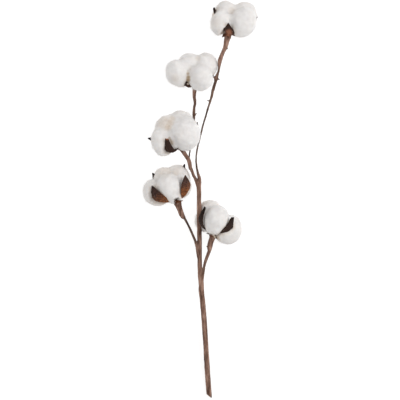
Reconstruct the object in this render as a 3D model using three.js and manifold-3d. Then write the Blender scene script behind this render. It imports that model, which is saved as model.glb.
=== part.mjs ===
// A cut cotton stem with five open bolls, lying on a flat surface.
// Millimetres, +Z up. The stem runs along Y with its cut end towards -Y,
// and the origin is under the middle of the whole piece.
import * as THREE from "three";
import { mergeVertices } from "three/addons/utils/BufferGeometryUtils.js";
import Module from "manifold-3d";

const wasm = await Module();
wasm.setup();

// Driving dimensions
const CLEARANCE = 0.35; // gap between neighbouring pieces
const MERGE_DISTANCE = 1e-4;

const LOCK_DETAIL = 3;
const LINT_LENGTHENING = 1.14; // how much longer a lock is along its boll's axis than across
const LINT_WAVINESS = 0.045; // height of the soft humps on a lock, as a share of its radius
const LINT_POINT = 0.3; // how far a lock is drawn out towards its base, as a share of its radius
const LINT_AIM = 4; // height above the base that the drawn out end of a lock aims at
const CREASE_SOFTNESS = 3.2; // how far the rounding of a crease between two locks reaches
const FACING_LIMIT = 0.01; // a seam that a direction faces less than this doesn't limit its reach

const VALVE_THICKNESS = 1.3;
const VALVE_STEPS_ACROSS = 2;
const VALVE_STEPS_ALONG = 6;
const VALVE_ROOT = 2.6; // how far inside the receptacle a valve starts
const VALVE_CUPPING = 0.26; // how far the edges of a valve turn in, as a share of its half width
const VALVE_FOOT_SHARE = 0.18; // the part of a valve's length that is its narrow foot
const VALVE_BULGE = 0.75; // lower is a fuller valve
const BELLY_SHIFT = 0.85; // under 1 puts the widest place of a valve nearer its base
const VALVE_FOOT_WIDTH = 4;
const VALVE_TIP_WIDTH = 0.9;
const TIP_CURL = 2.2; // how far the tip of a valve bends outwards
const TIP_CURL_START = 0.78; // where along a valve that bend starts
const PRESSED_DEPTH = 14; // how far the lint is cleared away in front of a valve that presses on it

const BRACT_STEPS = 2;
const BRACT_LIFT = 0.8; // how far a bract bows outwards
const BRACT_BEND = 0.55; // where along a bract it bows most
const RECEPTACLE_RADIUS = 4.8;
const RECEPTACLE_SIDES = 10;
// Profile of the receptacle as shares of its radius: out from its axis, and along it
const RECEPTACLE_PROFILE = [
  [0, -0.62],
  [0.82, -0.56],
  [1, 0.06],
  [0.78, 0.5],
  [0, 0.76],
];

const BRANCH_SIDES = 6;
const CORNER_ALLOWANCE = 1.1; // keeps a six sided branch as thick on average as a round one
const STEPS_PER_ROUTE_POINT = 1.5;
const BARK_RIDGE = 0.07; // height of the ridges along the bark, as a share of its radius
const SPUR_POINT = 1; // thickness of a spur's point
const SPUR_MIDDLE = 0.62; // thickness halfway along a spur, as a share of that at its foot
const CUT_SLANT = 41; // degrees by which the cut at the stem's foot leans
const CUT_PLACE = [10.6, -246.6, 0];
const CUTTER_SIZE = [40, 20, 40];
const GROUND_SIZE = [400, 800, 40];

const LINT = new THREE.MeshStandardMaterial({ color: 0xece9e4, roughness: 0.95, metalness: 0 });
const BURR = new THREE.MeshStandardMaterial({ color: 0x4a2c1d, roughness: 0.7, metalness: 0 });
const BARK = new THREE.MeshStandardMaterial({ color: 0x6b4a38, roughness: 0.85, metalness: 0 });

// Routes of the stem and its branches: x, y, z and thickness at each point
const MAIN_STEM = [
  [12, -250, 2.3, 5.9],
  [9.8, -225, 4.2, 6.2],
  [8.8, -206, 6.6, 6.0],
  [7.5, -187, 8.3, 5.7],
  [6, -162, 10.8, 6.0],
  [4.1, -137, 13.2, 6.1],
  [2.6, -122, 14.7, 5.8],
  [1.6, -115, 15.4, 6.3],
  [1.6, -106, 16.3, 6.1],
  [0.7, -97, 17.2, 6.2],
  [-0.3, -81, 18.8, 5.0],
  [-0.6, -62, 20.7, 5.4],
  [-0.6, -44, 22.4, 5.3],
  [-1.2, -20, 24.6, 4.8],
  [-0.9, -10, 25.4, 5.6],
  [-1.3, 0, 26, 4.7],
  [-1.2, 12, 26.3, 5.2],
  [-2, 21, 26.4, 5.4],
];
const TOP_BRANCH = [
  [-1.6, 14, 26.2, 4.4],
  [-0.6, 26, 26, 4.2],
  [-2.5, 33, 25.6, 2.9],
  [-4.8, 45, 24.8, 2.2],
  [-4.6, 56, 24.2, 2.0],
  [-3.1, 66, 23.8, 2.0],
  [-0.2, 77, 23.4, 2.1],
  [3.8, 94, 22.8, 2.1],
  [6.9, 104, 22.4, 2.1],
  [10, 115, 22, 2.4],
  [12.9, 124, 21.8, 2.6],
  [14.4, 129, 21.8, 3.0],
  [16.3, 138, 22, 3.4],
  [19.4, 148, 22.3, 3.3],
  [20, 152.5, 22.4, 4.2],
  [22.9, 160, 22.6, 2.6],
  [24.2, 168, 22.9, 3.0],
  [24.7, 174, 23.1, 4.9],
  [27.9, 183, 23.5, 4.3],
  [30, 187.5, 23.8, 4.4],
  [32, 192, 24.2, 5.3],
  [33.1, 198, 24.8, 6.0],
  [34.2, 202, 25.4, 6.9],
  [35, 204.4, 25.8, 8.2],
];
const THIRD_BOLL_BRANCH = [
  [-2.2, 17, 26.3, 4.4],
  [-5, 25, 26.5, 3.6],
  [-8.2, 31, 26.8, 3.4],
  [-10.5, 37.5, 27, 3.5],
  [-12, 40, 27, 3.9],
  [-13.7, 49, 27.2, 4.6],
  [-16, 53, 27.4, 4.2],
  [-20, 59, 27.7, 4.4],
  [-23, 64, 28, 5.6],
];
const SECOND_BOLL_BRANCH = [
  [-11.6, 38.5, 27, 3.6],
  [-13.4, 45, 26, 3.0],
  [-13.6, 53, 22.6, 1.9],
  [-12.6, 62, 16.5, 1.8],
  [-10.5, 78, 11.2, 1.8],
  [-8.2, 94, 9.6, 2.2],
  [-7.8, 106, 9.8, 3.4],
  [-7.4, 116, 10.2, 3.1],
  [-6.1, 122, 10.6, 3.2],
  [-7.2, 129, 11, 3.7],
  [-6.9, 137, 12, 4.4],
  [-6.4, 143, 13.4, 5.8],
];
const FOURTH_BOLL_BRANCH = [
  [-1.6, -72, 19.8, 3.8],
  [-3.4, -60, 21, 3.4],
  [-5.6, -52, 21.8, 2.9],
  [-8.6, -45, 22.2, 2.9],
  [-12.4, -36, 22.6, 2.8],
  [-16.4, -28.5, 23, 2.6],
  [-19.4, -22.7, 23.3, 3.1],
  [-22, -20, 23.5, 5.9],
  [-25, -12.4, 23.9, 5.9],
  [-26.8, -7.4, 24.1, 7.0],
  [-28, -4, 24.2, 9.2],
];
const FIFTH_BOLL_BRANCH = [
  [2.2, -103, 16.6, 3.6],
  [4.4, -87.5, 18.6, 2.9],
  [6.3, -78.7, 19.6, 3.3],
  [9.3, -70, 20.6, 3.7],
  [11.8, -63.5, 21.4, 3.8],
  [12.2, -58.6, 22, 6.4],
  [13.4, -53, 22.8, 6.1],
  [15.2, -48, 24, 6.6],
  [15.8, -45.4, 24.8, 7.2],
];

// Short spurs and thorns on the nodes of the branches: foot, point, thickness at the foot
const SPURS = [
  { foot: [20, 152, 22.4], point: [15.8, 155.4, 24.6], thickness: 3.8 },
  { foot: [19.8, 152, 22.2], point: [24.8, 151.2, 21], thickness: 3 },
  { foot: [13, 124.4, 21.8], point: [8.4, 124.4, 23.4], thickness: 2.2 },
  { foot: [31.6, 190.6, 24], point: [35, 189, 25.6], thickness: 3.0 },
  { foot: [-22, -20, 23.6], point: [-21.4, -23.4, 22.6], thickness: 3.6 },
  { foot: [11.8, -59, 22], point: [8.4, -58, 23.6], thickness: 3.8 },
  { foot: [-7.4, 106, 9.8], point: [-4.4, 109, 10.8], thickness: 2.2 },
];

// The bolls. Places are measured from the boll's centre, x to the right, y towards the
// top of the stem and z up. A lock has a centre and a radius. Some are stretched along
// the boll's axis, or drawn out towards the base more or less than the others.
// A valve of the burr runs from the base through a point on its way to its tip. It is
// width wide at its belly, and foot and point wide at its ends where they differ from
// the usual. bulge and shift then say how full its belly is and where along it that lies.
// A pressing valve has no lint in front of it.
const BOLLS = [
  {
    name: "boll_1",
    centre: [42.5, 226.2, 25],
    base: [-7.2, -19.4, 1],
    axis: [0.22, 0.96, 0.1],
    locks: [
      { at: [-15.4, -6.6, 8], radius: 13.8, drawn: 0.08 },
      { at: [11.6, -4.4, 10], radius: 16, drawn: 0.14 },
      { at: [-10.4, 4.6, -9.2], radius: 16.4 },
      { at: [13, 4.8, -9.8], radius: 15.6 },
    ],
    valves: [
      { via: [-7.4, -17.6, 14.5], tip: [-6.9, -6.2, 24], width: 15, foot: 22, bulge: 1.3, presses: true },
      { via: [-19.4, -4, -9], tip: [-23.8, 12.8, 4.6], width: 10, point: 5 },
      { via: [16, -19, 0], tip: [27, 3.2, 2], width: 12 },
      { via: [-4, -17, -13], tip: [0, -4, -20], width: 13 },
    ],
    bracts: [
      { point: [-14, -21.4, 7], width: 7.6 },
      { point: [3.8, -20.2, 7], width: 7.4 },
    ],
  },
  {
    name: "boll_2",
    centre: [-10, 161.2, 22],
    base: [4.4, -15.4, -7],
    axis: [-0.1, 0.72, 0.68],
    locks: [
      { at: [-18.4, -2, 3], radius: 15 },
      { at: [-2.4, 6, -6.2], radius: 15.8 },
      { at: [16.6, 7.4, -4], radius: 14.8 },
      { at: [11.2, -8.2, 9], radius: 14.6 },
    ],
    valves: [
      { via: [-4.8, -20, 0], tip: [-6, -12.4, 9], width: 10, point: 1.6, presses: true },
      { via: [19, -13, -6], tip: [25, -4, -4], width: 10 },
      { via: [-14, -7, -13], tip: [-23, 7, -11], width: 11 },
      { via: [8, 0, -17], tip: [10, 12, -17], width: 11 },
    ],
    bracts: [],
  },
  {
    name: "boll_3",
    centre: [-30, 82.5, 30],
    base: [6, -16.8, -2],
    axis: [-0.38, 0.92, 0.04],
    locks: [
      { at: [-18.2, -11.4, 3], radius: 12.4, stretch: 0.2, drawn: 0.15 },
      { at: [-7.6, 4, -7.4], radius: 17.6 },
      { at: [12.2, 0.6, 7], radius: 17.4, drawn: 0.14 },
      { at: [7.5, 9.6, -8], radius: 17.2, drawn: 0.1 },
    ],
    valves: [
      { via: [-6.8, -23.2, 10], tip: [-10.4, -6, 18], width: 15, foot: 9, point: 4.6, presses: true },
      { via: [-22, -9.6, -8], tip: [-33, -5, -1], width: 9, point: 1.6 },
      { via: [27.4, -8, -2], tip: [24.6, 13.4, 8], width: 8, point: 1.6 },
      { via: [2, -12, -16], tip: [-3, 2, -20], width: 12 },
    ],
    bracts: [],
  },
  {
    name: "boll_4",
    centre: [-40, 17.5, 25],
    base: [11.8, -20.2, -0.8],
    axis: [-0.4, 0.9, 0.1],
    locks: [
      { at: [-17, -8.4, -0.6], radius: 14.2 },
      { at: [-3.6, 7.8, -11], radius: 14.2 },
      { at: [12.2, 9.6, -10], radius: 15.2 },
      { at: [16, 1, 0], radius: 12.6 },
      { at: [2, -1.6, 11.5], radius: 14.8, drawn: 0.3 },
    ],
    valves: [
      { via: [-10.8, -18.2, 12], tip: [-18, 0.4, 15], width: 23, point: 1.6, bulge: 0.65, presses: true },
      {
        via: [24, -7, 13.6],
        tip: [20, 12.4, 18],
        width: 21.5,
        point: 1.8,
        bulge: 0.6,
        shift: 1.15,
        presses: true,
      },
      { via: [-10, 0, -14], tip: [-18, 15.4, -4], width: 15, point: 1.2 },
      { via: [17, 3, -17], tip: [19.4, 26.2, -3], width: 13, point: 1.6 },
      { via: [4, -16, -16], tip: [4, 2, -21], width: 12 },
    ],
    bracts: [{ point: [17.4, -17.6, 3], width: 4.6 }],
  },
  {
    name: "boll_5",
    centre: [23.8, -26.2, 26],
    base: [-8, -17.8, -0.6],
    axis: [0.24, 0.95, 0.12],
    locks: [
      { at: [-3.4, 2.6, 11], radius: 15.2, drawn: 0.24 },
      { at: [13, -10.6, -1.4], radius: 14.8, stretch: 0.08 },
      { at: [-11.6, 9.8, -11.4], radius: 14.6 },
      { at: [-17.6, 1.6, -11], radius: 12.4 },
    ],
    valves: [
      { via: [-23.8, -2.8, 13.4], tip: [-16.2, 16.6, 17], width: 11, point: 3.6 },
      { via: [10, -12.8, 13.4], tip: [15.6, 4.8, 17], width: 14, point: 4.6 },
      { via: [14, -23, -13], tip: [24, -3, -14], width: 10 },
      { via: [-15, -12, -15], tip: [-16, 8, -20], width: 11 },
    ],
    bracts: [
      { point: [-2.8, -20.6, 6.6], width: 4.4 },
      { point: [-14, -14.4, 7], width: 4.4 },
    ],
  },
];

// Solids and geometries

function solid(geometry) {
  const bare = geometry.clone();
  bare.deleteAttribute("normal");
  bare.deleteAttribute("uv");
  const merged = mergeVertices(bare, MERGE_DISTANCE);
  return new wasm.Manifold(
    new wasm.Mesh({
      numProp: 3,
      vertProperties: new Float32Array(merged.getAttribute("position").array),
      triVerts: new Uint32Array(merged.getIndex().array),
    }),
  );
}

function joined(solids) {
  return solids.reduce((whole, next) => whole.add(next));
}

function largestBody(whole) {
  return whole.decompose().reduce((best, next) => (next.volume() > best.volume() ? next : best));
}

function meshOf(name, whole, material) {
  const { vertProperties, triVerts } = largestBody(whole).getMesh();
  const geometry = new THREE.BufferGeometry();
  geometry.setAttribute("position", new THREE.BufferAttribute(vertProperties, 3));
  geometry.setIndex(new THREE.BufferAttribute(triVerts, 1));
  geometry.computeVertexNormals();
  const mesh = new THREE.Mesh(geometry, material);
  mesh.name = name;
  return mesh;
}

function moveEachVertex(geometry, move) {
  const position = geometry.getAttribute("position");
  const vertex = new THREE.Vector3();
  for (let i = 0; i < position.count; i += 1) {
    vertex.fromBufferAttribute(position, i);
    const moved = move(vertex);
    position.setXYZ(i, moved.x, moved.y, moved.z);
  }
  return geometry;
}

function vector(values) {
  return new THREE.Vector3(...values);
}

// Stem and branches

function barkRadius(angle, along, radius) {
  const ridge = Math.sin(3 * angle + 0.06 * along) + 0.6 * Math.sin(2 * angle - 0.11 * along);
  return radius * (1 + BARK_RIDGE * ridge);
}

function branchSolid(route, extra = 0) {
  const curve = new THREE.CatmullRomCurve3(route.map(([x, y, z]) => new THREE.Vector3(x, y, z)));
  const spans = route.length - 1;
  const steps = Math.round(spans * STEPS_PER_ROUTE_POINT);
  const up = new THREE.Vector3(0, 0, 1);
  const shape = new THREE.CylinderGeometry(1, 1, 1, BRANCH_SIDES, steps);
  moveEachVertex(shape, (vertex) => {
    const share = THREE.MathUtils.clamp(vertex.y + 0.5, 0, 1);
    const place = share * spans;
    const before = Math.min(Math.floor(place), spans - 1);
    const thickness = THREE.MathUtils.lerp(route[before][3], route[before + 1][3], place - before);
    const middle = curve.getPoint(share);
    const tangent = curve.getTangent(share);
    const side = new THREE.Vector3().crossVectors(tangent, up).normalize();
    const over = new THREE.Vector3().crossVectors(side, tangent);
    const angle = Math.atan2(vertex.z, vertex.x);
    const onRim = Math.hypot(vertex.x, vertex.z) > 0.5;
    const rim = barkRadius(angle, middle.y, (CORNER_ALLOWANCE * thickness) / 2) + extra;
    const radius = onRim ? rim : 0;
    return middle
      .addScaledVector(side, radius * Math.cos(angle))
      .addScaledVector(over, radius * Math.sin(angle));
  });
  return solid(shape);
}

function spurSolid({ foot, point, thickness }, extra = 0) {
  const middle = vector(foot).lerp(vector(point), 0.5).toArray();
  const route = [
    [...foot, thickness],
    [...middle, thickness * SPUR_MIDDLE],
    [...point, SPUR_POINT],
  ];
  return branchSolid(route, extra);
}

function stemSolid(extra = 0) {
  const routes = [
    MAIN_STEM,
    TOP_BRANCH,
    THIRD_BOLL_BRANCH,
    SECOND_BOLL_BRANCH,
    FOURTH_BOLL_BRANCH,
    FIFTH_BOLL_BRANCH,
  ];
  return joined([
    ...routes.map((route) => branchSolid(route, extra)),
    ...SPURS.map((spur) => spurSolid(spur, extra)),
  ]);
}

function footCutter() {
  const block = new THREE.BoxGeometry(...CUTTER_SIZE);
  block.translate(0, -CUTTER_SIZE[1] / 2, 0);
  block.rotateZ(-THREE.MathUtils.degToRad(CUT_SLANT));
  block.translate(...CUT_PLACE);
  return solid(block);
}

function groundSolid() {
  const block = new THREE.BoxGeometry(...GROUND_SIZE);
  block.translate(0, 0, -GROUND_SIZE[2] / 2);
  return solid(block);
}

// Burrs: the dry husk of a boll, split into pointed valves round the stalk

function valveWidth(share, valve) {
  const { width, foot = VALVE_FOOT_WIDTH, point = VALVE_TIP_WIDTH } = valve;
  const { bulge = VALVE_BULGE, shift = BELLY_SHIFT } = valve;
  const pastFoot = Math.max(share - VALVE_FOOT_SHARE, 0) / (1 - VALVE_FOOT_SHARE);
  const belly = width * Math.max(Math.sin(Math.PI * pastFoot ** shift), 0) ** bulge;
  return Math.max(THREE.MathUtils.lerp(foot, point, share), belly);
}

function valveSolid(boll, valve, extra = 0, steps = VALVE_STEPS_ALONG) {
  const cleared = valve.presses && extra > 0 ? PRESSED_DEPTH : 0;
  const centre = vector(boll.centre);
  const root = vector(boll.base).addScaledVector(vector(boll.axis).normalize(), VALVE_ROOT);
  const points = [root, vector(valve.via), vector(valve.tip)].map((place) => place.add(centre));
  const through = points[1].clone().multiplyScalar(2).addScaledVector(points[0], -0.5);
  through.addScaledVector(points[2], -0.5);
  const curve = new THREE.QuadraticBezierCurve3(points[0], through, points[2]);
  const shape = new THREE.BoxGeometry(1, 1, 1, VALVE_STEPS_ACROSS, 1, steps);
  moveEachVertex(shape, (vertex) => {
    const share = THREE.MathUtils.clamp(vertex.z + 0.5, 0, 1);
    const place = curve.getPoint(share);
    const tangent = curve.getTangent(share);
    const outward = place.clone().sub(centre);
    outward.addScaledVector(tangent, -outward.dot(tangent)).normalize();
    const side = new THREE.Vector3().crossVectors(outward, tangent);
    const across = vertex.x * 2;
    const halfWidth = valveWidth(share, valve) / 2 + extra;
    const cup = VALVE_CUPPING * halfWidth * across * across;
    const curl = TIP_CURL * (Math.max(share - TIP_CURL_START, 0) / (1 - TIP_CURL_START)) ** 2;
    const face = vertex.y * (VALVE_THICKNESS + 2 * extra) + (vertex.y > 0 ? cleared : 0);
    place.addScaledVector(tangent, extra * vertex.z * 2);
    return place.addScaledVector(side, across * halfWidth).addScaledVector(outward, face + curl - cup);
  });
  return solid(shape);
}

function bractSolid(boll, { point, width }, extra = 0) {
  const middle = vector(boll.base).lerp(vector(point), BRACT_BEND);
  middle.addScaledVector(vector(point).normalize(), BRACT_LIFT);
  return valveSolid(boll, { via: middle.toArray(), tip: point, width }, extra, BRACT_STEPS);
}

function receptacleSolid(boll, extra = 0) {
  const profile = RECEPTACLE_PROFILE.map(([out, along]) => {
    const outward = out > 0 ? out * RECEPTACLE_RADIUS + extra : 0;
    return new THREE.Vector2(outward, along * RECEPTACLE_RADIUS + Math.sign(along) * extra);
  });
  const cup = new THREE.LatheGeometry(profile, RECEPTACLE_SIDES);
  const axis = vector(boll.axis).normalize();
  cup.applyQuaternion(new THREE.Quaternion().setFromUnitVectors(new THREE.Vector3(0, 1, 0), axis));
  const place = vector(boll.base).add(vector(boll.centre));
  cup.translate(place.x, place.y, place.z);
  return solid(cup);
}

function burrSolid(boll, extra = 0) {
  return joined([
    receptacleSolid(boll, extra),
    ...boll.valves.map((valve) => valveSolid(boll, valve, extra)),
    ...boll.bracts.map((bract) => bractSolid(boll, bract, extra)),
  ]);
}

// Locks: the puffs of lint, drawn out towards the base and pressed against each other

function softMinimum(a, b, reach) {
  const overlap = Math.max(reach - Math.abs(a - b), 0) / reach;
  return Math.min(a, b) - (overlap * overlap * reach) / 4;
}

function lintHumps(direction, phase) {
  const { x, y, z } = direction;
  const broad = Math.sin(2.6 * x + 1.7 * y + phase) + Math.sin(2.9 * z - 2.1 * x + 2 * phase);
  const fine = Math.sin(5.3 * y + 3.9 * z - phase) * Math.sin(4.7 * x + 3 * phase);
  return 1 + LINT_WAVINESS * (0.5 * broad + 0.6 * fine);
}

function lockSolid(boll, index) {
  const axis = vector(boll.axis).normalize();
  const press = (point) => point.addScaledVector(axis, point.dot(axis) * (1 / LINT_LENGTHENING - 1));
  const release = (point) => point.addScaledVector(axis, point.dot(axis) * (LINT_LENGTHENING - 1));
  const places = boll.locks.map(({ at }) => press(vector(at)));
  const own = places[index];
  const { radius, stretch = 0, drawn = LINT_POINT } = boll.locks[index];
  const seams = places.flatMap((place, other) => {
    if (other === index) return [];
    const towards = place.clone().sub(own);
    const distance = towards.length();
    const share = (distance ** 2 + radius ** 2 - boll.locks[other].radius ** 2) / (2 * distance);
    return [{ normal: towards.normalize(), offset: share - CLEARANCE / 2 }];
  });
  const aim = vector(boll.base).add(new THREE.Vector3(0, 0, LINT_AIM));
  const towardsBase = press(aim).sub(own).normalize();
  const phase = 1.9 * index + 0.01 * boll.centre[1];
  const shape = new THREE.IcosahedronGeometry(1, LOCK_DETAIL);
  moveEachVertex(shape, (vertex) => {
    const direction = vertex.clone().normalize();
    const drawnOut = drawn * Math.max(direction.dot(towardsBase), 0) ** 3;
    const lengthened = stretch * direction.dot(axis) ** 2;
    let reach = radius * lintHumps(direction, phase) * (1 + drawnOut + lengthened);
    for (const { normal, offset } of seams) {
      const facing = direction.dot(normal);
      if (facing > FACING_LIMIT) reach = softMinimum(reach, offset / facing, CREASE_SOFTNESS);
    }
    return release(own.clone().addScaledVector(direction, reach)).add(vector(boll.centre));
  });
  return solid(shape);
}

// Assembly

const ground = groundSolid();
const stem = stemSolid().subtract(footCutter()).subtract(ground);
const stemRoom = stemSolid(CLEARANCE);

const group = new THREE.Group();
group.add(meshOf("stem", stem, BARK));
for (const boll of BOLLS) {
  const burr = burrSolid(boll).subtract(stemRoom).subtract(ground);
  group.add(meshOf(`${boll.name}_burr`, burr, BURR));
  const taken = burrSolid(boll, CLEARANCE).add(stemRoom).add(ground);
  boll.locks.forEach((lock, index) => {
    const lint = lockSolid(boll, index).subtract(taken);
    group.add(meshOf(`${boll.name}_lock_${index + 1}`, lint, LINT));
  });
}

export default group;
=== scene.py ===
"""A cut cotton stem with open bolls on a pale floor, seen from above. Metres, +Z up."""

import math

import bmesh
import bpy
import numpy as np
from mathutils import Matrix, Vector, noise
from mathutils.bvhtree import BVHTree


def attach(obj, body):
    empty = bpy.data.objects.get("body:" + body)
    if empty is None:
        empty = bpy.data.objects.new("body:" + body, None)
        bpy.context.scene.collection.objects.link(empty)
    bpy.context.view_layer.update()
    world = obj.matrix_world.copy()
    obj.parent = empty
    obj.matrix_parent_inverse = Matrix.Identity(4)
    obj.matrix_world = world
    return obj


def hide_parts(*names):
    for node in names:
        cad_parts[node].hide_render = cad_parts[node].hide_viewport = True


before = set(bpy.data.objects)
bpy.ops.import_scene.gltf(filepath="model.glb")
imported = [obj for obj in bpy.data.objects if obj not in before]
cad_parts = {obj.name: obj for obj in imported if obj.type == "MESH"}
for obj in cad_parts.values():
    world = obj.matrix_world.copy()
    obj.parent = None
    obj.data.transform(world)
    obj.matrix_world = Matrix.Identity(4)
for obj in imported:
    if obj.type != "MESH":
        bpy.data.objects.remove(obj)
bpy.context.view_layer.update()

MM = 0.001
SEED = 11
SEED_STEP = 31
SAME_PLACE = 0.001 * MM

BOLLS = sorted({name.rsplit("_burr", 1)[0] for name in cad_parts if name.endswith("_burr")})

# Lint: the size of its mesh, and how far it swells past the solids
LINT_VOXEL = 0.75 * MM
LINT_SWELL = 0.25 * MM
# How often its mesh is evened out after each step
FUSED_SMOOTHING = 4
FILLED_SMOOTHING = 3
SHRUNK_SMOOTHING = 8
CLEARED_SMOOTHING = 6
LAST_SMOOTHING = 1
# Height in mm, wavelength, noise offset and stretch of each wave of its relief
LINT_RELIEF = (
    (0.55, 9 * MM, 0, (1, 1, 1)),
    (0.22, 3.4 * MM, 7, (1, 1, 1)),
    (0.08, 1.3 * MM, 13, (1, 1, 1)),
)
# The lowest that the relief goes and what the whole surface is raised by, in mm
DEEPEST_RELIEF = -0.25
LINT_LOFT = 0.25
# Creases narrower than twice this, in mm, are filled
CREASE_FILL = {"boll_1": 2.4, "boll_2": 2.0, "boll_3": 8.0, "boll_4": 4.0, "boll_5": 2.4}

# Valves in the lint: how far one clears what is in front of it and straight above it,
# and how near a lock of the solids has to be to count as its cover
CLEARED_IN_FRONT = 14 * MM
COVER_IN_FRONT = 1.4 * MM
CLEARED_ABOVE = 7 * MM
ALL_ABOVE = 60 * MM
LINT_GAP = 0.3 * MM
# A ray starts RAY_LEAD outside its point, and goes on RAY_STEP inside the valve that it hits
RAY_LEAD = 0.4 * MM
RAY_STEP = 0.05 * MM
VALVE_DEPTH = 4 * MM
# How far from the top of the stalk a boll's receptacle is bare
BARE_AT_STALK = {"boll_4": 6.5 * MM, "boll_5": 5 * MM}

# Loose fibres: lengths, heights and curls are drawn from these ranges
FIBRES_PER_BOLL = 4200
FIBRE_STEPS = 3
FIBRE_THICKNESS = 0.1 * MM
FIBRE_LENGTH_MM = (2.0, 6.0)
FIBRE_HEIGHT_MM = 1.9
FIBRE_RISE = (0.1, 1.0)
FIBRE_RISE_POWER = 1.7
FIBRE_CURL = (-0.45, 0.45)
FIBRE_ROOT = 0.25 * MM
FIBRE_ARCH = 0.62 * math.pi
FIBRE_SHORTENING = 0.15
FIBRE_TAPER = 0.5
FIBRE_SIDES = 3

# Stains and painted shade of the lint: real stain and painted bounce light near the burr, painted
# shade in hollows and low down
# Near the burr: real stain together with painted bounce light off the brown burr
STAIN_AND_BOUNCE_NEAR_BURR = (0.5 * MM, 5.5 * MM)
BURR_STAIN_AND_BOUNCE = (0.2, 0.4)
STAIN_PATCH = 7 * MM
PATCH_OFFSET = 21
# Painted shade: the lint in creases is creamer and darker
HOLLOW_PAINTED_SHADE = 0.45
HOLLOW_DEPTH = (0.05 * MM, 0.9 * MM)
HOLLOW_SMOOTHING = 24
# Painted shade: the lint lower down a boll is creamer and darker
LOW_PAINTED_SHADE = 0.12
LOW_DEPTH = (8 * MM, 34 * MM)
MOST_STAIN_AND_SHADE = 0.95

# Burr
BURR_VOXEL = 0.42 * MM
BURR_SMOOTHING = 4
BURR_HOLD = 0.5
BURR_RELIEF = ((0.16, 3.2 * MM, 0, (1, 2.5, 1)), (0.07, 1.2 * MM, 0, (1, 1, 1)))
STALK_TOUCH = 0.8 * MM
FRESH_BURRS = ("boll_4",)

# Bark: ridges along the stem, knots and fine grain
BARK_VOXEL = 0.5 * MM
BARK_SMOOTHING = 6
BARK_HOLD = 0.9
BARK_RELIEF = (
    (0.17, 1.5 * MM, 3, (1, 9, 1)),
    (0.14, 3.5 * MM, 5, (1, 1.8, 1)),
    (0.05, 0.8 * MM, 8, (1, 3, 1)),
)
# Heights in mm between which a ridge turns to the colour of worn bark, and how far it turns
RAISED_BARK = (0.12, 0.3)
RAISED_SHARE = 0.9
# How far it swells on the thinnest branches and on the main stem, and where thin ends
BARK_SWELL = (0.05 * MM, 0.4 * MM)
THIN_BRANCH = (2.0 * MM, 4.2 * MM)
THICKEST = 9 * MM
THICKNESS_STEP = 0.1 * MM
# The cut end: how long it is, and how squarely its face points down the stem
CUT_END = 6 * MM
CUT_SLOPE = (0.55, 0.75)

# Camera, floor and light
PHOTO_FIELD = 500 * MM
CAMERA_HEIGHT = 2.4
SENSOR = 36.0
BOLL_HEIGHT = 27 * MM
FLOOR_HALF = 15.0
FLOOR_GAP = 0.1 * MM
FLOOR_GREY = 0.35
FLOOR_GLOW = 0.8
SKY_COLOUR = (1, 0.975, 0.95, 1)
SKY_STRENGTH = 0.47
KEY_LIGHT = {"place": (1.5, 0.4, 1.7), "size": 1.6, "power": 30}
FILL_LIGHT = {"place": (-1.3, 0.1, 1.5), "size": 1.4, "power": 8}

# Coloured spots, seen from above: x and y in mm, how far each reaches in mm, and its strength
# The cream spots are painted shade: creamer, darker lint in creases and on the lower, side lobes
CREAM_PAINTED_SHADE = {
    "boll_1": [(40, 236, 7, 0.3), (16, 229, 8, 0.25), (27, 209, 7, 0.3), (20, 219, 10, 0.2)],
    "boll_2": [(-14.6, 152, 4, 1.0), (-15, 158, 3, 0.6), (-2.5, 177, 5, 0.3), (-30, 152, 8, 0.25)],
    "boll_3": [
        (-35, 101, 6, 0.5),
        (-37.5, 96, 7, 0.7),
        (-40, 91, 7, 0.8),
        (-44, 96, 12, 0.5),
        (-35, 72, 4, 0.6),
    ],
    "boll_4": [(-30, 35, 7, 0.3), (-54, 17, 5, 0.3), (-44, 36, 12, 0.3)],
    "boll_5": [(20, -47, 7, 0.5), (34, -36, 4, 0.3), (4, -3, 6, 0.2)],
}
TAN = {
    "boll_2": [
        (-14.6, 149.4, 3.6, 1.0),
        (-14.6, 153, 3.4, 0.8),
        (-15, 157, 2.6, 0.6),
        (-15, 161, 2, 0.3),
    ],
    "boll_3": [
        (-38, 76.6, 2.6, 0.6),
        (-36.8, 74.2, 2.6, 0.6),
        (-35.6, 71.8, 2.6, 0.6),
        (-34.4, 69.6, 2.4, 0.5),
    ],
    "boll_5": [(14.5, -43, 3, 0.4)],
}
RUST = {
    "boll_1": [(35.6, 207.5, 6, 1.0)],
    "boll_3": [(-40.5, 76.5, 3.2, 1.0)],
}
PALE = {
    "boll_2": [(-15.0, 145.0, 1.5, 1.0)],
    "boll_5": [(16.8, -43.4, 2.2, 1.0), (18.4, -46.0, 2.2, 1.0)],
}
# The share of a spot that has its full strength, how low on a boll spots show,
# and how patchy they are
SPOT_CORE = 0.3
SPOT_LOWEST = 0.35
SPOT_PATCHES = 0.3


# Meshes as arrays

def mesh_arrays(mesh):
    points = np.empty(len(mesh.vertices) * 3)
    mesh.vertices.foreach_get("co", points)
    return points.reshape(-1, 3)


def set_points(mesh, points):
    mesh.vertices.foreach_set("co", points.ravel())
    mesh.update()


def normals_of(mesh):
    normals = np.empty(len(mesh.vertices) * 3)
    mesh.vertices.foreach_get("normal", normals)
    return normals.reshape(-1, 3)


def edges_of(mesh):
    pairs = np.empty(len(mesh.edges) * 2, dtype=np.int64)
    mesh.edges.foreach_get("vertices", pairs)
    return pairs.reshape(-1, 2)


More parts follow.
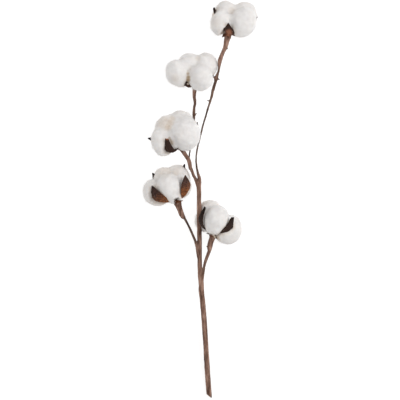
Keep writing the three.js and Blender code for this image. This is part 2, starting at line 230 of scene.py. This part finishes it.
def smoothed(mesh, times, factor=0.5, hold=0.0):
    """Evens out the surface. hold undoes part of the shrinking at each step."""
    points = mesh_arrays(mesh)
    pairs = edges_of(mesh)
    ends = np.concatenate([pairs[:, 0], pairs[:, 1]])
    others = np.concatenate([pairs[:, 1], pairs[:, 0]])
    count = np.maximum(np.bincount(ends, minlength=len(points)), 1)[:, None]

    def towards_neighbours(places):
        sums = [np.bincount(ends, places[others, axis], len(places)) for axis in range(3)]
        return np.stack(sums, axis=1) / count - places

    for _ in range(times):
        points = points + factor * towards_neighbours(points)
        if hold:
            points = points - hold * factor * towards_neighbours(points)
    set_points(mesh, points)


def fused(name, nodes, voxel, swell=0.0):
    """One closed mesh round copies of CAD nodes."""
    shape = bmesh.new()
    for node in nodes:
        shape.from_mesh(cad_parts[node].data)
    bmesh.ops.remove_doubles(shape, verts=shape.verts, dist=SAME_PLACE)
    bmesh.ops.recalc_face_normals(shape, faces=shape.faces)
    shape.normal_update()
    if swell:
        for vertex in shape.verts:
            vertex.co += vertex.normal * swell
    rough = bpy.data.meshes.new(name + "_rough")
    shape.to_mesh(rough)
    shape.free()
    piece = bpy.data.objects.new(name, rough)
    bpy.context.scene.collection.objects.link(piece)
    remeshed(piece, voxel)
    return piece


def remeshed(piece, voxel):
    """Gives the piece one closed outer surface of even faces."""
    before = piece.data
    remesh = piece.modifiers.new("remesh", "REMESH")
    remesh.mode = "VOXEL"
    remesh.voxel_size = voxel
    graph = bpy.context.evaluated_depsgraph_get()
    piece.data = bpy.data.meshes.new_from_object(piece.evaluated_get(graph))
    piece.modifiers.clear()
    bpy.data.meshes.remove(before)
    keep_largest_island(piece.data)


def pushed_out(mesh, distance):
    set_points(mesh, mesh_arrays(mesh) + normals_of(mesh) * distance)


def keep_largest_island(mesh):
    shape = bmesh.new()
    shape.from_mesh(mesh)
    unseen = set(shape.verts)
    islands = []
    while unseen:
        start = unseen.pop()
        island = [start]
        for vertex in island:
            for edge in vertex.link_edges:
                other = edge.other_vert(vertex)
                if other in unseen:
                    unseen.remove(other)
                    island.append(other)
        islands.append(island)
    largest = max(islands, key=len)
    spare = [vertex for island in islands if island is not largest for vertex in island]
    bmesh.ops.delete(shape, geom=spare, context="VERTS")
    shape.to_mesh(mesh)
    shape.free()


def tree_of(*meshes):
    shape = bmesh.new()
    for mesh in meshes:
        shape.from_mesh(mesh)
    tree = BVHTree.FromBMesh(shape)
    shape.free()
    return tree


def set_attribute(mesh, name, values):
    attribute = mesh.attributes.get(name) or mesh.attributes.new(name, "FLOAT", "POINT")
    attribute.data.foreach_set("value", np.asarray(values, dtype=np.float32))


def noise_at(points, wavelength, offset=0.0, stretch=(1.0, 1.0, 1.0)):
    """Smooth noise from about -1 to 1 at each point. stretch lengthens the pattern along an axis."""
    scaled = points / (np.array(stretch) * wavelength) + offset
    return np.array([noise.noise(Vector(place)) for place in scaled])


def relief_of(points, waves, seed=0):
    """Height in mm at each point: noise of several wavelengths added up."""
    return sum(
        height * noise_at(points, wavelength, seed + offset, stretch)
        for height, wavelength, offset, stretch in waves
    )


def smooth_step(low, high, values):
    share = np.clip((values - low) / (high - low), 0, 1)
    return share * share * (3 - 2 * share)


def spots(table, boll, points):
    """How strongly the boll's coloured spots in a table reach each of its upper points."""
    amount = np.zeros(len(points))
    for x, y, reach, strength in table.get(boll, ()):
        distance = np.hypot(points[:, 0] - x * MM, points[:, 1] - y * MM)
        faded = smooth_step(SPOT_CORE * reach * MM, reach * MM, distance)
        amount = np.maximum(amount, strength * (1 - faded))
    low, high = points[:, 2].min(), points[:, 2].max()
    return amount * (points[:, 2] > low + SPOT_LOWEST * (high - low))


def shade_smooth(mesh):
    mesh.polygons.foreach_set("use_smooth", np.ones(len(mesh.polygons), dtype=bool))


def distances(tree, points, reach):
    """Distance from each point to the surface in tree, or reach where it is further."""
    found = [tree.find_nearest(Vector(point), reach) for point in points]
    return np.array([reach if hit[0] is None else hit[3] for hit in found])


# Materials

class Nodes:
    """A short way to write a material's node tree."""

    def __init__(self, name):
        self.material = bpy.data.materials.new(name)
        self.material.use_nodes = True
        self.tree = self.material.node_tree
        self.shader = self.tree.nodes["Principled BSDF"]

    def add(self, kind, **settings):
        node = self.tree.nodes.new(kind)
        for key, value in settings.items():
            setattr(node, key, value)
        return node

    def link(self, source, target):
        self.tree.links.new(source, target)

    def attribute(self, name):
        return self.add("ShaderNodeAttribute", attribute_name=name).outputs["Fac"]

    def place(self, scale):
        coordinates = self.add("ShaderNodeTexCoord").outputs["Object"]
        mapping = self.add("ShaderNodeMapping")
        mapping.inputs["Scale"].default_value = scale
        self.link(coordinates, mapping.inputs["Vector"])
        return mapping.outputs["Vector"]

    def noise(self, scale, detail=4.0, roughness=0.55, stretch=(1, 1, 1)):
        texture = self.add("ShaderNodeTexNoise")
        texture.inputs["Scale"].default_value = scale
        texture.inputs["Detail"].default_value = detail
        texture.inputs["Roughness"].default_value = roughness
        self.link(self.place(stretch), texture.inputs["Vector"])
        return texture.outputs["Fac"]

    def ramp(self, source, stops):
        ramp = self.add("ShaderNodeValToRGB")
        elements = ramp.color_ramp.elements
        while len(elements) < len(stops):
            elements.new(0.5)
        for element, (position, colour) in zip(elements, stops):
            element.position = position
            element.color = (*colour, 1)
        self.link(source, ramp.inputs["Fac"])
        return ramp.outputs["Color"]

    def mix(self, factor, first, second, blend="MIX"):
        mix = self.add("ShaderNodeMix", data_type="RGBA", blend_type=blend)
        sockets = (mix.inputs[0], mix.inputs[6], mix.inputs[7])
        for socket, value in zip(sockets, (factor, first, second)):
            if isinstance(value, (int, float)):
                socket.default_value = value
            elif isinstance(value, tuple):
                socket.default_value = (*value, 1)
            else:
                self.link(value, socket)
        return mix.outputs[2]

    def maths(self, operation, first, second=0.0):
        node = self.add("ShaderNodeMath", operation=operation)
        for socket, value in zip(node.inputs, (first, second)):
            if isinstance(value, (int, float)):
                socket.default_value = value
            else:
                self.link(value, socket)
        return node.outputs[0]

    def bump(self, height, strength, distance):
        bump = self.add("ShaderNodeBump")
        bump.inputs["Strength"].default_value = strength
        bump.inputs["Distance"].default_value = distance
        self.link(height, bump.inputs["Height"])
        self.link(bump.outputs["Normal"], self.shader.inputs["Normal"])


def lint_material():
    made = Nodes("lint")
    shader = made.shader
    clean = made.ramp(made.noise(160, 3), [(0.3, (0.785, 0.768, 0.757)), (0.7, (0.865, 0.852, 0.845))])
    warm = made.ramp(
        made.noise(420, 3),
        [(0.3, (0.58, 0.46, 0.35)), (0.7, (0.78, 0.67, 0.55))],
    )
    # Stain and painted shade: the lint turns cream where it is stained and where shade is painted into
    # it
    stained_and_shaded = made.mix(made.attribute("stain_and_painted_shade"), clean, warm)
    colour = made.mix(made.attribute("tan"), stained_and_shaded, (0.40, 0.29, 0.18))
    made.link(colour, shader.inputs["Base Color"])
    shader.inputs["Roughness"].default_value = 1.0
    shader.inputs["Specular IOR Level"].default_value = 0.15
    shader.inputs["Sheen Weight"].default_value = 0.25
    shader.inputs["Sheen Roughness"].default_value = 0.6
    shader.inputs["Subsurface Weight"].default_value = 0.35
    shader.inputs["Subsurface Radius"].default_value = (1.0, 0.9, 0.8)
    shader.inputs["Subsurface Scale"].default_value = 2.5 * MM
    made.bump(made.noise(1500, 5, 0.65), 0.25, 0.4 * MM)
    return made.material


def burr_material():
    made = Nodes("burr")
    shader = made.shader
    unevenness = made.maths("MULTIPLY", made.noise(260, 3), 0.16)
    uneven = made.maths("ADD", made.attribute("tipward"), unevenness)
    weathered = made.ramp(
        uneven,
        [
            (0.16, (0.15, 0.065, 0.040)),
            (0.34, (0.085, 0.040, 0.026)),
            (0.50, (0.052, 0.027, 0.020)),
            (0.78, (0.038, 0.020, 0.015)),
            (0.98, (0.018, 0.010, 0.008)),
        ],
    )
    fresh = made.ramp(
        uneven,
        [
            (0.16, (0.19, 0.075, 0.036)),
            (0.40, (0.40, 0.145, 0.045)),
            (0.60, (0.30, 0.108, 0.038)),
            (0.76, (0.095, 0.048, 0.036)),
            (0.98, (0.030, 0.019, 0.017)),
        ],
    )
    along = made.mix(made.attribute("fresh"), weathered, fresh)
    rusty = made.mix(made.attribute("rust"), along, (0.36, 0.155, 0.090))
    streaks = made.ramp(
        made.noise(800, 5, 0.65, (1.6, 0.5, 1.6)),
        [(0.36, (0.40, 0.34, 0.32)), (0.56, (1.0, 1.0, 1.0))],
    )
    streaked = made.mix(0.8, rusty, streaks, "MULTIPLY")
    speckles = made.ramp(
        made.noise(620, 3, 0.6),
        [(0.44, (0.26, 0.22, 0.25)), (0.54, (1.0, 1.0, 1.0))],
    )
    share = made.maths("MULTIPLY", made.attribute("fresh"), 0.9)
    speckled = made.mix(share, streaked, speckles, "MULTIPLY")
    pale = made.mix(made.attribute("pale"), speckled, (0.66, 0.56, 0.45))
    made.link(pale, shader.inputs["Base Color"])
    shader.inputs["Roughness"].default_value = 0.75
    shader.inputs["Specular IOR Level"].default_value = 0.14
    made.bump(made.noise(1100, 5, 0.6, (1.6, 0.5, 1.6)), 0.5, 0.3 * MM)
    return made.material


def bark_material():
    made = Nodes("bark")
    shader = made.shader
    streaks = made.ramp(
        made.noise(420, 6, 0.62, (1.0, 0.12, 1.0)),
        [
            (0.30, (0.060, 0.031, 0.022)),
            (0.42, (0.175, 0.100, 0.073)),
            (0.56, (0.315, 0.188, 0.141)),
            (0.72, (0.56, 0.375, 0.30)),
        ],
    )
    blotches = made.ramp(
        made.noise(200, 4, 0.6, (1.0, 0.3, 1.0)),
        [(0.38, (0.52, 0.47, 0.45)), (0.56, (1.0, 1.0, 1.0))],
    )
    colour = made.mix(0.85, streaks, blotches, "MULTIPLY")
    thin = made.mix(made.attribute("thin"), (1.0, 1.0, 1.0), (0.47, 0.52, 0.54))
    colour = made.mix(1.0, colour, thin, "MULTIPLY")
    raised = made.mix(made.attribute("raised"), colour, (0.36, 0.24, 0.18))
    cut = made.mix(made.attribute("cut"), raised, (0.55, 0.42, 0.30))
    made.link(cut, shader.inputs["Base Color"])
    shader.inputs["Roughness"].default_value = 0.85
    shader.inputs["Specular IOR Level"].default_value = 0.15
    made.bump(made.noise(900, 6, 0.65, (1.0, 0.15, 1.0)), 0.6, 0.3 * MM)
    return made.material


# Lint: soft lobes of fibre, with loose fibres standing out of them

def under_the_valves(points, centre, burr_tree, lock_tree, base, bare):
    """Moves lint to just under a valve wherever no lock of the solids covers that valve.

    Nearer to the stalk than bare, it moves the lint under the burr in any case.
    """
    def place_below(place, inward, reach, cleared, cover_reach):
        hit, _, _, gap = burr_tree.ray_cast(place - inward * RAY_LEAD, inward, reach)
        if hit is None:
            return place
        if (hit - base).length > bare:
            cover, _, _, _ = lock_tree.ray_cast(hit, -inward, cover_reach)
            if cover is not None or gap > cleared:
                return place
        through, _, _, _ = burr_tree.ray_cast(hit + inward * RAY_STEP, inward, VALVE_DEPTH)
        bottom = through if through is not None else hit
        return bottom + inward * LINT_GAP

    down = Vector((0, 0, -1))
    moved = points.copy()
    for index, point in enumerate(points):
        place = Vector(point)
        inward = (centre - place).normalized()
        place = place_below(place, inward, CLEARED_IN_FRONT, CLEARED_IN_FRONT, COVER_IN_FRONT)
        if place.z > centre.z:
            place = place_below(place, down, ALL_ABOVE, CLEARED_ABOVE, ALL_ABOVE)
        moved[index] = place
    return moved


def fibre_mesh(points, faces, areas, face_normals, seed):
    """Thin tapered fibres that rise from a surface and bend over.

    Returns their vertices and faces, and the vertex of the surface that each one stands at.
    """
    random = np.random.RandomState(seed)
    chosen = random.choice(len(faces), FIBRES_PER_BOLL, p=areas / areas.sum())
    corner = points[faces[chosen]]
    weights = random.dirichlet((1, 1, 1, 1), FIBRES_PER_BOLL)
    foot = np.einsum("ij,ijk->ik", weights, corner)
    normal = face_normals[chosen]
    random_way = random.normal(size=foot.shape)
    along = random_way - normal * np.einsum("ij,ij->i", random_way, normal)[:, None]
    along /= np.linalg.norm(along, axis=1)[:, None]
    side = np.cross(along, normal)
    length = random.uniform(*FIBRE_LENGTH_MM, (FIBRES_PER_BOLL, 1)) * MM
    rise = random.uniform(*FIBRE_RISE, (FIBRES_PER_BOLL, 1)) ** FIBRE_RISE_POWER
    height = rise * FIBRE_HEIGHT_MM * MM
    curl = random.uniform(*FIBRE_CURL, (FIBRES_PER_BOLL, 1))
    turns = np.arange(FIBRE_SIDES) * 2 * math.pi / FIBRE_SIDES
    rings = []
    for step in range(FIBRE_STEPS + 1):
        share = step / FIBRE_STEPS
        middle = foot + along * length * share * (1 - FIBRE_SHORTENING * share)
        middle = middle + side * length * curl * share**2
        lift = height * math.sin(FIBRE_ARCH * share) - FIBRE_ROOT * (1 - share)
        middle = middle + normal * lift
        if step == FIBRE_STEPS:
            rings.append(middle[:, None, :])
            break
        radius = FIBRE_THICKNESS / 2 * (1 - FIBRE_TAPER * share)
        ways = [math.cos(turn) * normal + math.sin(turn) * side for turn in turns]
        ring = [middle + radius * way for way in ways]
        rings.append(np.stack(ring, axis=1))
    vertices = np.concatenate(rings, axis=1)
    per_fibre = vertices.shape[1]
    sides = FIBRE_SIDES
    pattern = [tuple(reversed(range(sides)))]
    for step in range(FIBRE_STEPS - 1):
        for k in range(sides):
            a = sides * step + k
            b = sides * step + (k + 1) % sides
            pattern.append((a, b, b + sides, a + sides))
    last = sides * (FIBRE_STEPS - 1)
    for k in range(sides):
        pattern.append((last + k, last + (k + 1) % sides, per_fibre - 1))
    starts = np.arange(FIBRES_PER_BOLL) * per_fibre
    made_faces = [tuple(int(start + i) for i in face) for start in starts for face in pattern]
    feet = np.repeat(faces[chosen][:, 0], per_fibre)
    return vertices.reshape(-1, 3), made_faces, feet


def face_arrays(mesh):
    """Corners, areas and normals of the four-sided faces."""
    quads = [face for face in mesh.polygons if len(face.vertices) == 4]
    corners = np.array([tuple(face.vertices) for face in quads])
    areas = np.array([face.area for face in quads])
    normals = np.array([tuple(face.normal) for face in quads])
    return corners, areas, normals


def lint_body(boll, locks, burr_tree, base, seed):
    """The locks of a boll as one soft piece with its valves left free."""
    lock_tree = tree_of(*(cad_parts[lock].data for lock in locks))
    piece = fused(boll + "_lint", locks, LINT_VOXEL, LINT_SWELL)
    fill = CREASE_FILL[boll] * MM
    smoothed(piece.data, FUSED_SMOOTHING)
    pushed_out(piece.data, fill)
    remeshed(piece, LINT_VOXEL)
    smoothed(piece.data, FILLED_SMOOTHING)
    pushed_out(piece.data, -fill)
    smoothed(piece.data, SHRUNK_SMOOTHING)
    points = mesh_arrays(piece.data)
    centre = Vector(points.mean(axis=0))
    bare = BARE_AT_STALK.get(boll, 0.0)
    set_points(piece.data, under_the_valves(points, centre, burr_tree, lock_tree, base, bare))
    remeshed(piece, LINT_VOXEL)
    smoothed(piece.data, CLEARED_SMOOTHING)
    points = mesh_arrays(piece.data)
    normals = normals_of(piece.data)
    relief = relief_of(points, LINT_RELIEF, seed)
    points = points + normals * (np.maximum(relief, DEEPEST_RELIEF)[:, None] + LINT_LOFT) * MM
    points = under_the_valves(points, centre, burr_tree, lock_tree, base, bare)
    points[:, 2] = np.maximum(points[:, 2], FLOOR_GAP)
    set_points(piece.data, points)
    smoothed(piece.data, LAST_SMOOTHING)
    return piece


def stain_and_painted_shade_of(boll, mesh, points, burr_tree, seed):
    """How cream the lint is at each point: stain and painted bounce light near the burr, painted shade
    in hollows, low down and at the cream spots.
    """
    far = distances(burr_tree, points, STAIN_AND_BOUNCE_NEAR_BURR[1])
    near_burr = 1 - smooth_step(*STAIN_AND_BOUNCE_NEAR_BURR, far)
    patchy = 0.5 + 0.5 * noise_at(points, STAIN_PATCH, seed + PATCH_OFFSET)
    low = smooth_step(*LOW_DEPTH, points[:, 2].max() - points[:, 2])
    even, uneven = BURR_STAIN_AND_BOUNCE
    # Real stain and painted bounce light near the burr, and painted shade in hollows
    stain_and_painted_shade = near_burr * (even + uneven * patchy) + HOLLOW_PAINTED_SHADE * hollowness(mesh, points)
    # Painted shade low down on the boll
    stain_and_painted_shade += LOW_PAINTED_SHADE * low
    # Painted shade at the cream spots
    stain_and_painted_shade += spots(CREAM_PAINTED_SHADE, boll, points) * (1 - SPOT_PATCHES + SPOT_PATCHES * patchy)
    return np.clip(stain_and_painted_shade, 0, MOST_STAIN_AND_SHADE)


def make_lint(boll, burr_tree, base, material, seed):
    locks = sorted(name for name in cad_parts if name.startswith(boll + "_lock_"))
    piece = lint_body(boll, locks, burr_tree, base, seed)
    mesh = piece.data
    points = mesh_arrays(mesh)
    stain_and_painted_shade = stain_and_painted_shade_of(boll, mesh, points, burr_tree, seed)
    tan = spots(TAN, boll, points)
    fibres, fibre_faces, feet = fibre_mesh(points, *face_arrays(mesh), seed)
    fibres[:, 2] = np.maximum(fibres[:, 2], FLOOR_GAP)
    body_faces = [tuple(face.vertices) for face in mesh.polygons]
    first = len(points)
    whole = bpy.data.meshes.new(piece.name)
    whole.from_pydata(
        np.concatenate([points, fibres]).tolist(),
        [],
        body_faces + [tuple(i + first for i in face) for face in fibre_faces],
    )
    # The loose fibres take the stain and painted shade of the lint at their feet
    set_attribute(whole, "stain_and_painted_shade", np.concatenate([stain_and_painted_shade, stain_and_painted_shade[feet]]))
    set_attribute(whole, "tan", np.concatenate([tan, tan[feet]]))
    shade_smooth(whole)
    piece.data = whole
    bpy.data.meshes.remove(mesh)
    finish_piece(piece, material, locks)


def hollowness(mesh, points):
    """How far each point lies in a crease, from 0 to 1, by how its surroundings rise past it."""
    before = points.copy()
    smoothed(mesh, HOLLOW_SMOOTHING)
    sunk = np.einsum("ij,ij->i", mesh_arrays(mesh) - before, normals_of(mesh))
    set_points(mesh, before)
    return smooth_step(*HOLLOW_DEPTH, sunk)


def finish_piece(piece, material, nodes):
    piece.data.materials.clear()
    piece.data.materials.append(material)
    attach(piece, "root")
    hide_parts(*nodes)


# Burrs

def make_burr(boll, material, seed, stem_tree):
    """Makes the husk. Returns its surface and the place where it sits on the stalk."""
    piece = fused(boll + "_husk", [boll + "_burr"], BURR_VOXEL)
    mesh = piece.data
    smoothed(mesh, BURR_SMOOTHING, hold=BURR_HOLD)
    points = mesh_arrays(mesh)
    normals = normals_of(mesh)
    at_stalk = distances(stem_tree, points, 2 * STALK_TOUCH) < STALK_TOUCH
    base = points[at_stalk].mean(axis=0)
    reach = np.linalg.norm(points - base, axis=1)
    tipward = reach / reach.max()
    wrinkles = relief_of(points, BURR_RELIEF, seed)
    points = points + normals * (wrinkles * MM)[:, None]
    points[:, 2] = np.maximum(points[:, 2], FLOOR_GAP)
    set_points(mesh, points)
    set_attribute(mesh, "tipward", tipward)
    set_attribute(mesh, "fresh", np.full(len(points), float(boll in FRESH_BURRS)))
    set_attribute(mesh, "rust", spots(RUST, boll, points))
    set_attribute(mesh, "pale", spots(PALE, boll, points))
    shade_smooth(mesh)
    finish_piece(piece, material, [boll + "_burr"])
    return tree_of(mesh), Vector(base)


# Stem

def thickness_of(mesh, points, normals):
    """How far it is from each point through the branch to its other side."""
    tree = tree_of(mesh)
    through = np.full(len(points), THICKEST)
    for index, (point, normal) in enumerate(zip(points, normals)):
        inward = -Vector(normal)
        start = Vector(point) + inward * THICKNESS_STEP
        hit, _, _, gap = tree.ray_cast(start, inward, THICKEST)
        if hit is not None:
            through[index] = gap
    return through


def make_stem(material):
    piece = fused("stem_bark", ["stem"], BARK_VOXEL)
    mesh = piece.data
    smoothed(mesh, BARK_SMOOTHING, hold=BARK_HOLD)
    thickness = thickness_of(mesh, mesh_arrays(mesh), normals_of(mesh))
    thin = 1 - smooth_step(*THIN_BRANCH, thickness)
    on_thin, on_stem = BARK_SWELL
    pushed_out(mesh, (on_thin * thin + on_stem * (1 - thin))[:, None])
    points = mesh_arrays(mesh)
    normals = normals_of(mesh)
    height = relief_of(points, BARK_RELIEF)
    near_end = points[:, 1] < points[:, 1].min() + CUT_END
    cut = smooth_step(*CUT_SLOPE, -normals[:, 1]) * near_end
    points = points + normals * (height * (1 - cut) * MM)[:, None]
    points[:, 2] = np.maximum(points[:, 2], FLOOR_GAP)
    set_points(mesh, points)
    set_attribute(mesh, "thin", thin)
    set_attribute(mesh, "raised", RAISED_SHARE * smooth_step(*RAISED_BARK, height))
    set_attribute(mesh, "cut", cut)
    shade_smooth(mesh)
    finish_piece(piece, material, ["stem"])


# Camera, floor and light

def make_camera():
    data = bpy.data.cameras.new("camera")
    data.sensor_width = SENSOR
    data.lens = SENSOR * (CAMERA_HEIGHT - BOLL_HEIGHT) / PHOTO_FIELD
    camera = bpy.data.objects.new("camera", data)
    camera.location = (0, 0, CAMERA_HEIGHT)
    bpy.context.scene.collection.objects.link(camera)
    bpy.context.scene.camera = camera


def make_floor():
    half = FLOOR_HALF
    corners = [(-half, -half, 0), (half, -half, 0), (half, half, 0), (-half, half, 0)]
    mesh = bpy.data.meshes.new("floor")
    mesh.from_pydata(corners, [], [(0, 1, 2, 3)])
    floor = bpy.data.objects.new("floor", mesh)
    bpy.context.scene.collection.objects.link(floor)
    made = Nodes("floor")
    made.shader.inputs["Base Color"].default_value = (FLOOR_GREY, FLOOR_GREY, FLOOR_GREY, 1)
    made.shader.inputs["Roughness"].default_value = 0.9
    made.shader.inputs["Specular IOR Level"].default_value = 0.0
    made.shader.inputs["Emission Color"].default_value = (1, 1, 1, 1)
    made.shader.inputs["Emission Strength"].default_value = FLOOR_GLOW
    mesh.materials.append(made.material)


def make_light(name, place, size, power):
    data = bpy.data.lights.new(name, "AREA")
    data.shape = "DISK"
    data.size = size
    data.energy = power
    light = bpy.data.objects.new(name, data)
    light.location = place
    light.rotation_euler = (-Vector(place)).to_track_quat("-Z", "Y").to_euler()
    light.visible_camera = False
    bpy.context.scene.collection.objects.link(light)


def make_world():
    world = bpy.data.worlds.new("world")
    world.use_nodes = True
    background = world.node_tree.nodes["Background"]
    background.inputs["Color"].default_value = SKY_COLOUR
    background.inputs["Strength"].default_value = SKY_STRENGTH
    bpy.context.scene.world = world


make_camera()
make_floor()
make_world()
make_light("key", **KEY_LIGHT)
make_light("fill", **FILL_LIGHT)
bpy.context.scene.view_settings.view_transform = "Standard"

lint = lint_material()
burr = burr_material()
make_stem(bark_material())
stem_tree = tree_of(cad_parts["stem"].data)
for number, boll in enumerate(BOLLS):
    burr_tree, base = make_burr(boll, burr, SEED + number, stem_tree)
    make_lint(boll, burr_tree, base, lint, SEED + SEED_STEP * number)
